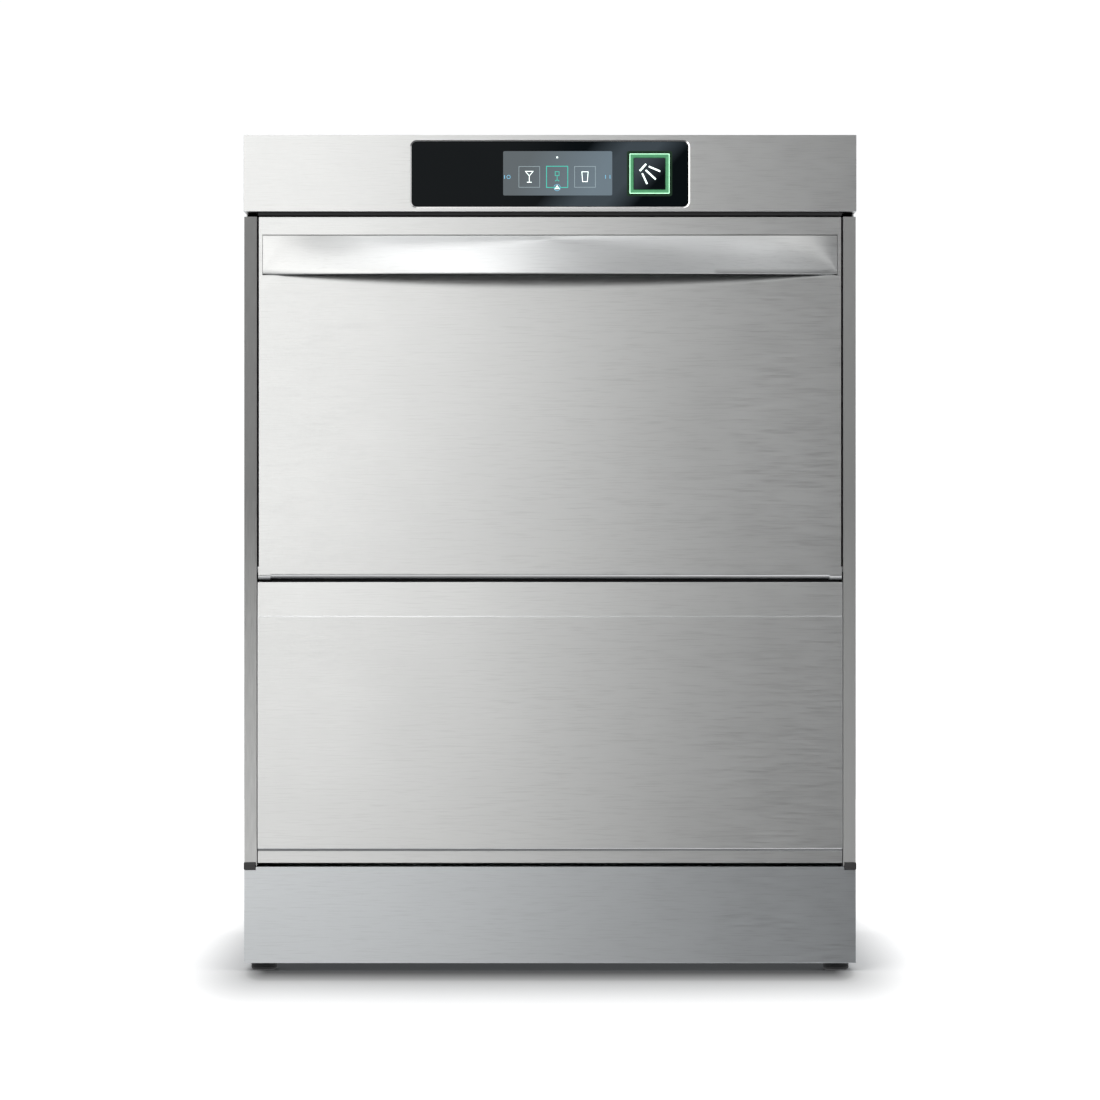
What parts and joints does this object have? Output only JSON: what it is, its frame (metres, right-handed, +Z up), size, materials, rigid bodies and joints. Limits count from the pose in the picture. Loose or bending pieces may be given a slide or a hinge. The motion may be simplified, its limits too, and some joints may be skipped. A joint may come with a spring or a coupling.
{
  "type": "glass washer machine",
  "caption": "Undercounter glass washer with drop-down door, control fascia with glass display, spray arms, wash tank, pumps and levelling feet.",
  "frame": {"origin": "on the floor, below the middle of the machine's overall box", "axes": "+Z up; the door and display face -Y; +X is to the right of someone who stands in front"},
  "size_m": [0.601, 0.603, 0.82],
  "materials": {
    "outer_steel": "fine horizontal brushing, satin",
    "inner_steel": "pressed stainless sheet, satin",
    "dark_steel": "dull zinc-nickel plated",
    "display_glass": "polished glass, printed black from behind",
    "screen": "lit touch screen",
    "green_light": "lit light guide",
    "black_plastic": "fine grain",
    "grey_plastic": "fine grain",
    "white_plastic": "satin",
    "blue_plastic": "satin",
    "rubber": "matt",
    "circuit_board": "solder mask",
    "motor_paint": "satin",
    "brass": "machined"
  },
  "bodies": {
    "cabinet": {"base_tray": "outer_steel", "side_panel_right": "outer_steel", "side_panel_left": "outer_steel", "rear_panel": "inner_steel", "top_panel": "outer_steel", "fascia": "outer_steel", "lower_front_panel": "outer_steel", "corner_clip_right": "black_plastic", "corner_clip_left": "black_plastic", "display_glass": "display_glass", "touch_screen": "screen", "button_light_ring": "green_light", "display_housing": "black_plastic", "control_board": "circuit_board", "door_seal": "rubber", "hinge_pin_right": "dark_steel", "hinge_pin_left": "dark_steel", "hinge_bracket_right": "dark_steel", "hinge_bracket_left": "dark_steel", "door_switch": "black_plastic", "wash_chamber": "inner_steel", "wash_tank": "inner_steel", "tank_heater": "dark_steel", "rack_rail_right": "inner_steel", "rack_rail_left": "inner_steel", "tank_strainer": "inner_steel", "lower_arm_column": "grey_plastic", "lower_arm_nut": "grey_plastic", "upper_arm_column": "grey_plastic", "upper_arm_nut": "grey_plastic", "pump_volute": "black_plastic", "pump_motor": "motor_paint", "wash_feed_pipe": "grey_plastic", "drain_pump": "black_plastic", "drain_hose": "rubber", "boiler": "inner_steel", "rinse_pump": "motor_paint", "rinse_hose": "rubber", "break_tank": "white_plastic", "detergent_pump": "blue_plastic", "rinse_aid_pump": "white_plastic", "inlet_valve": "brass", "electrics_box": "inner_steel", "cable_gland": "black_plastic"},
    "door": {"door_outer_panel": "outer_steel", "door_inner_panel": "inner_steel", "door_handle": "outer_steel", "door_spring_right": "dark_steel", "door_spring_left": "dark_steel"},
    "button": {"start_button": "black_plastic"},
    "wash_arm_low": {"lower_wash_arm": "blue_plastic"},
    "rinse_arm_low": {"lower_rinse_arm": "white_plastic"},
    "wash_arm_top": {"upper_wash_arm": "blue_plastic"},
    "rinse_arm_top": {"upper_rinse_arm": "white_plastic"},
    "filter": {"filter_cylinder": "inner_steel"},
    "pump_rotor": {"pump_impeller": "grey_plastic"},
    "foot_fl": {"foot_front_left": "rubber"},
    "foot_fr": {"foot_front_right": "rubber"},
    "foot_bl": {"foot_back_left": "rubber"},
    "foot_br": {"foot_back_right": "rubber"}
  },
  "joints": [
    {"name": "door_hinge", "type": "hinge", "parent": "cabinet", "child": "door", "pos_m": [0, -0.2725, 0.394], "axis": [1, 0, 0], "range_deg": [0, 90]},
    {"name": "start_button_press", "type": "slide", "parent": "cabinet", "child": "button", "axis": [0, 1, 0], "range_m": [0, 0.0015], "stiffness_N_per_m": 900, "springref_m": -0.001},
    {"name": "lower_wash_arm_spin", "type": "hinge", "parent": "cabinet", "child": "wash_arm_low", "pos_m": [0, 0, 0.3785], "axis": [0, 0, 1], "continuous": true},
    {"name": "lower_rinse_arm_spin", "type": "hinge", "parent": "cabinet", "child": "rinse_arm_low", "pos_m": [0, 0, 0.3945], "axis": [0, 0, 1], "continuous": true},
    {"name": "upper_wash_arm_spin", "type": "hinge", "parent": "cabinet", "child": "wash_arm_top", "pos_m": [0, 0, 0.7585], "axis": [0, 0, 1], "continuous": true},
    {"name": "upper_rinse_arm_spin", "type": "hinge", "parent": "cabinet", "child": "rinse_arm_top", "pos_m": [0, 0, 0.7425], "axis": [0, 0, 1], "continuous": true},
    {"name": "filter_lift", "type": "slide", "parent": "cabinet", "child": "filter", "axis": [0, 0, 1], "range_m": [0, 0.1]},
    {"name": "pump_spin", "type": "hinge", "parent": "cabinet", "child": "pump_rotor", "pos_m": [-0.095, 0.07, 0.2], "axis": [0, 0, 1], "continuous": true},
    {"name": "foot_front_left_screw", "type": "slide", "parent": "cabinet", "child": "foot_fl", "axis": [0, 0, 1], "range_m": [-0.025, 0]},
    {"name": "foot_front_right_screw", "type": "slide", "parent": "cabinet", "child": "foot_fr", "axis": [0, 0, 1], "range_m": [-0.025, 0]},
    {"name": "foot_back_left_screw", "type": "slide", "parent": "cabinet", "child": "foot_bl", "axis": [0, 0, 1], "range_m": [-0.025, 0]},
    {"name": "foot_back_right_screw", "type": "slide", "parent": "cabinet", "child": "foot_br", "axis": [0, 0, 1], "range_m": [-0.025, 0]}
  ]
}
